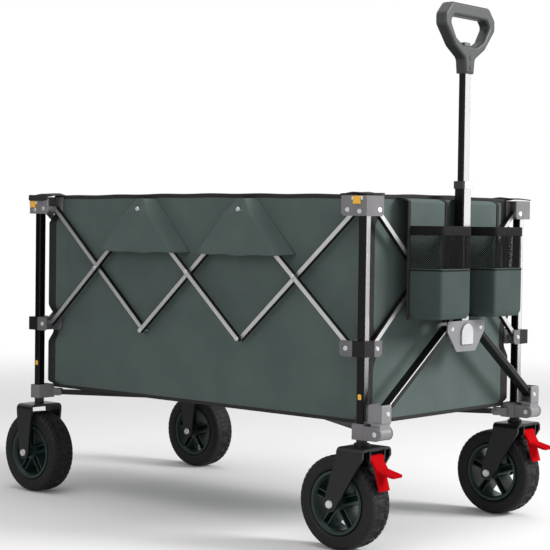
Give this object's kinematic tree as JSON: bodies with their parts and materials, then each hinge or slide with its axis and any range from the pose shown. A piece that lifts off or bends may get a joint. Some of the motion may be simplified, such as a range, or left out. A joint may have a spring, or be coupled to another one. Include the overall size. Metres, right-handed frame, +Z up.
{
  "type": "folding camp wagon",
  "caption": "Folding camp wagon: scissor-bar frame on corner posts, open fabric tub, wide wheels, front casters with pedals, and a telescoping pull handle with a D-grip.",
  "frame": {"origin": "middle of the wagon on the ground, centre of the bottom of its bounding box", "axes": "+X towards the pull handle, +Z up, +Y to the wagon's left"},
  "size_m": [1.052, 0.586, 0.988],
  "materials": {
    "frame_steel": "satin",
    "bracket_steel": "satin",
    "bar_steel": "satin",
    "handle_steel": "satin",
    "fork_steel": "satin",
    "pedal_red": "gloss",
    "grip_plastic": "matte",
    "button_plastic": "matte",
    "rim_plastic": "matte",
    "tyre": "matte",
    "fabric": "woven",
    "mat_fabric": "woven"
  },
  "bodies": {
    "post_rear_right": {"corner_post_rear_right": "frame_steel", "rear_fork_right": "fork_steel", "fabric_tub": "fabric", "floor_mat": "mat_fabric"},
    "post_rear_left": {"corner_post_rear_left": "frame_steel", "rear_fork_left": "fork_steel"},
    "post_front_right": {"corner_post_front_right": "frame_steel", "cup_pocket_right": "fabric"},
    "post_front_left": {"corner_post_front_left": "frame_steel", "cup_pocket_left": "fabric"},
    "slider_rear_right": {"slider_rear_right": "bracket_steel"},
    "floor_bar_rear_right": {"floor_bar_rear_right": "frame_steel"},
    "wheel_rear_right": {"wheel_rear_right": "rim_plastic", "tyre_rear_right": "tyre"},
    "slider_front_right": {"slider_front_right": "bracket_steel"},
    "floor_bar_front_right": {"floor_bar_front_right": "frame_steel"},
    "wheel_front_right": {"wheel_front_right": "rim_plastic", "tyre_front_right": "tyre"},
    "slider_front_left": {"slider_front_left": "bracket_steel"},
    "floor_bar_front_left": {"floor_bar_front_left": "frame_steel"},
    "wheel_front_left": {"wheel_front_left": "rim_plastic", "tyre_front_left": "tyre"},
    "slider_rear_left": {"slider_rear_left": "bracket_steel"},
    "floor_bar_rear_left": {"floor_bar_rear_left": "frame_steel"},
    "wheel_rear_left": {"wheel_rear_left": "rim_plastic", "tyre_rear_left": "tyre"},
    "right_link_1_down": {"right_link_1_down": "bar_steel"},
    "right_link_1_up": {"right_link_1_up": "bar_steel"},
    "right_link_2_down": {"right_link_2_down": "bar_steel"},
    "right_link_2_up": {"right_link_2_up": "bar_steel"},
    "right_link_3_down": {"right_link_3_down": "bar_steel"},
    "right_link_3_up": {"right_link_3_up": "bar_steel"},
    "strut_base_right": {"strut_base_right": "handle_steel"},
    "drawbar_strut_right": {"drawbar_strut_right": "handle_steel"},
    "caster_fork_right": {"caster_fork_right": "fork_steel"},
    "brake_pedal_right": {"brake_pedal_right": "pedal_red"},
    "left_link_1_down": {"left_link_1_down": "bar_steel"},
    "left_link_1_up": {"left_link_1_up": "bar_steel"},
    "left_link_2_down": {"left_link_2_down": "bar_steel"},
    "left_link_2_up": {"left_link_2_up": "bar_steel"},
    "left_link_3_down": {"left_link_3_down": "bar_steel"},
    "left_link_3_up": {"left_link_3_up": "bar_steel"},
    "strut_base_left": {"strut_base_left": "handle_steel"},
    "drawbar_strut_left": {"drawbar_strut_left": "handle_steel"},
    "caster_fork_left": {"caster_fork_left": "fork_steel"},
    "brake_pedal_left": {"brake_pedal_left": "pedal_red"},
    "front_link_right_down": {"front_link_right_down": "bar_steel"},
    "front_link_right_up": {"front_link_right_up": "bar_steel"},
    "front_link_left_down": {"front_link_left_down": "bar_steel"},
    "front_link_left_up": {"front_link_left_up": "bar_steel"},
    "rear_link_right_down": {"rear_link_right_down": "bar_steel"},
    "rear_link_right_up": {"rear_link_right_up": "bar_steel"},
    "rear_link_left_down": {"rear_link_left_down": "bar_steel"},
    "rear_link_left_up": {"rear_link_left_up": "bar_steel"},
    "floor_hub": {"floor_hub": "frame_steel"},
    "drawbar": {"drawbar_plate": "handle_steel", "handle_outer_tube": "handle_steel"},
    "handle": {"handle_inner_tube": "handle_steel", "handle_grip": "grip_plastic"},
    "grip_button": {"grip_button": "button_plastic"}
  },
  "joints": [
    {"name": "frame_fold", "type": "hinge", "parent": "post_rear_right", "child": "right_link_1_down", "pos_m": [-0.414, -0.247, 0.605], "axis": [0, 1, 0], "range_deg": [0, 34], "deforming": ["fabric_tub", "floor_mat", "cup_pocket_right", "cup_pocket_left"]},
    {"name": "right_link_1_up_turn", "type": "hinge", "parent": "right_link_1_down", "child": "right_link_1_up", "pos_m": [-0.276, -0.247, 0.4825], "axis": [0, -1, 0], "range_deg": [0, 68]},
    {"name": "right_link_2_up_turn", "type": "hinge", "parent": "right_link_1_down", "child": "right_link_2_up", "pos_m": [-0.138, -0.247, 0.36], "axis": [0, -1, 0], "range_deg": [0, 68]},
    {"name": "right_link_2_down_turn", "type": "hinge", "parent": "right_link_2_up", "child": "right_link_2_down", "pos_m": [0, -0.247, 0.4825], "axis": [0, 1, 0], "range_deg": [0, 68]},
    {"name": "right_link_3_down_turn", "type": "hinge", "parent": "right_link_2_up", "child": "right_link_3_down", "pos_m": [0.138, -0.247, 0.605], "axis": [0, 1, 0], "range_deg": [0, 68]},
    {"name": "right_link_3_up_turn", "type": "hinge", "parent": "right_link_3_down", "child": "right_link_3_up", "pos_m": [0.276, -0.247, 0.4825], "axis": [0, -1, 0], "range_deg": [0, 68]},
    {"name": "slider_rear_right_turn", "type": "hinge", "parent": "right_link_1_up", "child": "slider_rear_right", "pos_m": [-0.414, -0.247, 0.36], "axis": [0, 1, 0], "range_deg": [0, 34]},
    {"name": "post_front_right_turn", "type": "hinge", "parent": "right_link_3_up", "child": "post_front_right", "pos_m": [0.414, -0.247, 0.605], "axis": [0, 1, 0], "range_deg": [0, 34]},
    {"name": "slider_front_right_turn", "type": "hinge", "parent": "right_link_3_down", "child": "slider_front_right", "pos_m": [0.414, -0.247, 0.36], "axis": [0, -1, 0], "range_deg": [0, 34]},
    {"name": "rear_link_right_down_turn", "type": "hinge", "parent": "post_rear_right", "child": "rear_link_right_down", "pos_m": [-0.441, -0.2275, 0.605], "axis": [-1, 0, 0], "range_deg": [0, 34]},
    {"name": "rear_link_right_up_turn", "type": "hinge", "parent": "rear_link_right_down", "child": "rear_link_right_up", "pos_m": [-0.441, -0.0895, 0.4825], "axis": [1, 0, 0], "range_deg": [0, 68]},
    {"name": "rear_link_left_down_turn", "type": "hinge", "parent": "rear_link_right_down", "child": "rear_link_left_down", "pos_m": [-0.441, 0, 0.40305], "axis": [1, 0, 0], "range_deg": [0, 68]},
    {"name": "rear_link_left_up_turn", "type": "hinge", "parent": "rear_link_right_up", "child": "rear_link_left_up", "pos_m": [-0.441, 0, 0.56195], "axis": [-1, 0, 0], "range_deg": [0, 68]},
    {"name": "post_rear_left_turn", "type": "hinge", "parent": "rear_link_left_down", "child": "post_rear_left", "pos_m": [-0.441, 0.2275, 0.605], "axis": [-1, 0, 0], "range_deg": [0, 34]},
    {"name": "slider_rear_left_turn", "type": "hinge", "parent": "rear_link_left_up", "child": "slider_rear_left", "pos_m": [-0.441, 0.2275, 0.36], "axis": [1, 0, 0], "range_deg": [0, 34]},
    {"name": "front_link_right_down_turn", "type": "hinge", "parent": "post_front_right", "child": "front_link_right_down", "pos_m": [0.441, -0.2275, 0.605], "axis": [-1, 0, 0], "range_deg": [0, 34]},
    {"name": "front_link_right_up_turn", "type": "hinge", "parent": "front_link_right_down", "child": "front_link_right_up", "pos_m": [0.441, -0.0895, 0.4825], "axis": [1, 0, 0], "range_deg": [0, 68]},
    {"name": "front_link_left_down_turn", "type": "hinge", "parent": "front_link_right_down", "child": "front_link_left_down", "pos_m": [0.441, 0, 0.40305], "axis": [1, 0, 0], "range_deg": [0, 68]},
    {"name": "front_link_left_up_turn", "type": "hinge", "parent": "front_link_right_up", "child": "front_link_left_up", "pos_m": [0.441, 0, 0.56195], "axis": [-1, 0, 0], "range_deg": [0, 68]},
    {"name": "post_front_left_turn", "type": "hinge", "parent": "front_link_left_down", "child": "post_front_left", "pos_m": [0.441, 0.2275, 0.605], "axis": [-1, 0, 0], "range_deg": [0, 34]},
    {"name": "slider_front_left_turn", "type": "hinge", "parent": "front_link_left_up", "child": "slider_front_left", "pos_m": [0.441, 0.2275, 0.36], "axis": [1, 0, 0], "range_deg": [0, 34]},
    {"name": "left_link_1_down_turn", "type": "hinge", "parent": "post_rear_left", "child": "left_link_1_down", "pos_m": [-0.414, 0.247, 0.605], "axis": [0, 1, 0], "range_deg": [0, 34]},
    {"name": "left_link_1_up_turn", "type": "hinge", "parent": "left_link_1_down", "child": "left_link_1_up", "pos_m": [-0.276, 0.247, 0.4825], "axis": [0, -1, 0], "range_deg": [0, 68]},
    {"name": "left_link_2_up_turn", "type": "hinge", "parent": "left_link_1_down", "child": "left_link_2_up", "pos_m": [-0.138, 0.247, 0.36], "axis": [0, -1, 0], "range_deg": [0, 68]},
    {"name": "left_link_2_down_turn", "type": "hinge", "parent": "left_link_2_up", "child": "left_link_2_down", "pos_m": [0, 0.247, 0.4825], "axis": [0, 1, 0], "range_deg": [0, 68]},
    {"name": "left_link_3_down_turn", "type": "hinge", "parent": "left_link_2_up", "child": "left_link_3_down", "pos_m": [0.138, 0.247, 0.605], "axis": [0, 1, 0], "range_deg": [0, 68]},
    {"name": "left_link_3_up_turn", "type": "hinge", "parent": "left_link_3_down", "child": "left_link_3_up", "pos_m": [0.276, 0.247, 0.4825], "axis": [0, -1, 0], "range_deg": [0, 68]},
    {"name": "floor_bar_rear_right_turn", "type": "hinge", "parent": "post_rear_right", "child": "floor_bar_rear_right", "pos_m": [-0.421, -0.209, 0.211], "axis": [0.4816, -0.8764, 0], "range_deg": [0, 89.08]},
    {"name": "floor_bar_front_right_turn", "type": "hinge", "parent": "post_front_right", "child": "floor_bar_front_right", "pos_m": [0.421, -0.209, 0.211], "axis": [0.4816, 0.8764, 0], "range_deg": [0, 89.08]},
    {"name": "floor_bar_front_left_turn", "type": "hinge", "parent": "post_front_left", "child": "floor_bar_front_left", "pos_m": [0.421, 0.209, 0.211], "axis": [-0.4816, 0.8764, 0], "range_deg": [0, 89.08]},
    {"name": "floor_bar_rear_left_turn", "type": "hinge", "parent": "post_rear_left", "child": "floor_bar_rear_left", "pos_m": [-0.421, 0.209, 0.211], "axis": [-0.4816, -0.8764, 0], "range_deg": [0, 89.08]},
    {"name": "floor_hub_lift", "type": "slide", "parent": "post_rear_right", "child": "floor_hub", "axis": [-0.5865, -0.3223, 0.743], "range_m": [0, 0.47104]},
    {"name": "handle_tilt", "type": "hinge", "parent": "post_front_right", "child": "strut_base_right", "pos_m": [0.481, -0.247, 0.213], "axis": [0, 1, 0], "range_deg": [0, 75]},
    {"name": "strut_base_left_turn", "type": "hinge", "parent": "post_front_left", "child": "strut_base_left", "pos_m": [0.481, 0.247, 0.213], "axis": [0, 1, 0], "range_deg": [0, 75]},
    {"name": "drawbar_strut_right_turn", "type": "hinge", "parent": "strut_base_right", "child": "drawbar_strut_right", "pos_m": [0.477, -0.238, 0.248], "axis": [1, 0, 0], "range_deg": [0, 44]},
    {"name": "drawbar_strut_left_turn", "type": "hinge", "parent": "strut_base_left", "child": "drawbar_strut_left", "pos_m": [0.477, 0.238, 0.248], "axis": [-1, 0, 0], "range_deg": [0, 44]},
    {"name": "drawbar_turn", "type": "hinge", "parent": "drawbar_strut_right", "child": "drawbar", "pos_m": [0.477, -0.046, 0.389], "axis": [-1, 0, 0], "range_deg": [0, 44]},
    {"name": "handle_telescope", "type": "slide", "parent": "drawbar", "child": "handle", "axis": [0, 0, 1], "range_m": [-0.195, 0]},
    {"name": "button_press", "type": "slide", "parent": "handle", "child": "grip_button", "axis": [0, 0, -1], "range_m": [0, 0.003], "stiffness_N_per_m": 300, "springref_m": -0.002},
    {"name": "caster_swivel_right", "type": "hinge", "parent": "post_front_right", "child": "caster_fork_right", "pos_m": [0.441, -0.247, 0.194], "axis": [0, 0, 1], "continuous": true},
    {"name": "brake_right", "type": "hinge", "parent": "caster_fork_right", "child": "brake_pedal_right", "pos_m": [0.471, -0.247, 0.17], "axis": [0, 1, 0], "range_deg": [0, 6]},
    {"name": "wheel_spin_front_right", "type": "hinge", "parent": "caster_fork_right", "child": "wheel_front_right", "pos_m": [0.404, -0.247, 0.085], "axis": [0, 1, 0], "continuous": true},
    {"name": "wheel_spin_rear_right", "type": "hinge", "parent": "post_rear_right", "child": "wheel_rear_right", "pos_m": [-0.441, -0.247, 0.085], "axis": [0, 1, 0], "continuous": true},
    {"name": "caster_swivel_left", "type": "hinge", "parent": "post_front_left", "child": "caster_fork_left", "pos_m": [0.441, 0.247, 0.194], "axis": [0, 0, 1], "continuous": true},
    {"name": "brake_left", "type": "hinge", "parent": "caster_fork_left", "child": "brake_pedal_left", "pos_m": [0.471, 0.247, 0.17], "axis": [0, 1, 0], "range_deg": [0, 6]},
    {"name": "wheel_spin_front_left", "type": "hinge", "parent": "caster_fork_left", "child": "wheel_front_left", "pos_m": [0.404, 0.247, 0.085], "axis": [0, 1, 0], "continuous": true},
    {"name": "wheel_spin_rear_left", "type": "hinge", "parent": "post_rear_left", "child": "wheel_rear_left", "pos_m": [-0.441, 0.247, 0.085], "axis": [0, 1, 0], "continuous": true}
  ],
  "couplings": [
    {"joint": "right_link_1_up_turn", "follows": "frame_fold", "ratio": 2},
    {"joint": "right_link_2_up_turn", "follows": "frame_fold", "ratio": 2},
    {"joint": "right_link_2_down_turn", "follows": "frame_fold", "ratio": 2},
    {"joint": "right_link_3_down_turn", "follows": "frame_fold", "ratio": 2},
    {"joint": "right_link_3_up_turn", "follows": "frame_fold", "ratio": 2},
    {"joint": "slider_rear_right_turn", "follows": "frame_fold", "ratio": 1},
    {"joint": "post_front_right_turn", "follows": "frame_fold", "ratio": 1},
    {"joint": "slider_front_right_turn", "follows": "frame_fold", "ratio": 1},
    {"joint": "rear_link_right_down_turn", "follows": "frame_fold", "ratio": 1},
    {"joint": "rear_link_right_up_turn", "follows": "frame_fold", "ratio": 2},
    {"joint": "rear_link_left_down_turn", "follows": "frame_fold", "ratio": 2},
    {"joint": "rear_link_left_up_turn", "follows": "frame_fold", "ratio": 2},
    {"joint": "post_rear_left_turn", "follows": "frame_fold", "ratio": 1},
    {"joint": "slider_rear_left_turn", "follows": "frame_fold", "ratio": 1},
    {"joint": "front_link_right_down_turn", "follows": "frame_fold", "ratio": 1},
    {"joint": "front_link_right_up_turn", "follows": "frame_fold", "ratio": 2},
    {"joint": "front_link_left_down_turn", "follows": "frame_fold", "ratio": 2},
    {"joint": "front_link_left_up_turn", "follows": "frame_fold", "ratio": 2},
    {"joint": "post_front_left_turn", "follows": "frame_fold", "ratio": 1},
    {"joint": "slider_front_left_turn", "follows": "frame_fold", "ratio": 1},
    {"joint": "left_link_1_down_turn", "follows": "frame_fold", "ratio": 1},
    {"joint": "left_link_1_up_turn", "follows": "frame_fold", "ratio": 2},
    {"joint": "left_link_2_up_turn", "follows": "frame_fold", "ratio": 2},
    {"joint": "left_link_2_down_turn", "follows": "frame_fold", "ratio": 2},
    {"joint": "left_link_3_down_turn", "follows": "frame_fold", "ratio": 2},
    {"joint": "left_link_3_up_turn", "follows": "frame_fold", "ratio": 2},
    {"joint": "floor_bar_rear_right_turn", "follows": "frame_fold", "ratio": 2.62},
    {"joint": "floor_bar_front_right_turn", "follows": "frame_fold", "ratio": 2.62},
    {"joint": "floor_bar_front_left_turn", "follows": "frame_fold", "ratio": 2.62},
    {"joint": "floor_bar_rear_left_turn", "follows": "frame_fold", "ratio": 2.62},
    {"joint": "floor_hub_lift", "follows": "frame_fold", "m_per_rad": 0.79379},
    {"joint": "strut_base_left_turn", "follows": "handle_tilt", "ratio": 1},
    {"joint": "drawbar_strut_right_turn", "follows": "frame_fold", "ratio": 1.294},
    {"joint": "drawbar_strut_left_turn", "follows": "frame_fold", "ratio": 1.294},
    {"joint": "drawbar_turn", "follows": "frame_fold", "ratio": 1.294}
  ]
}
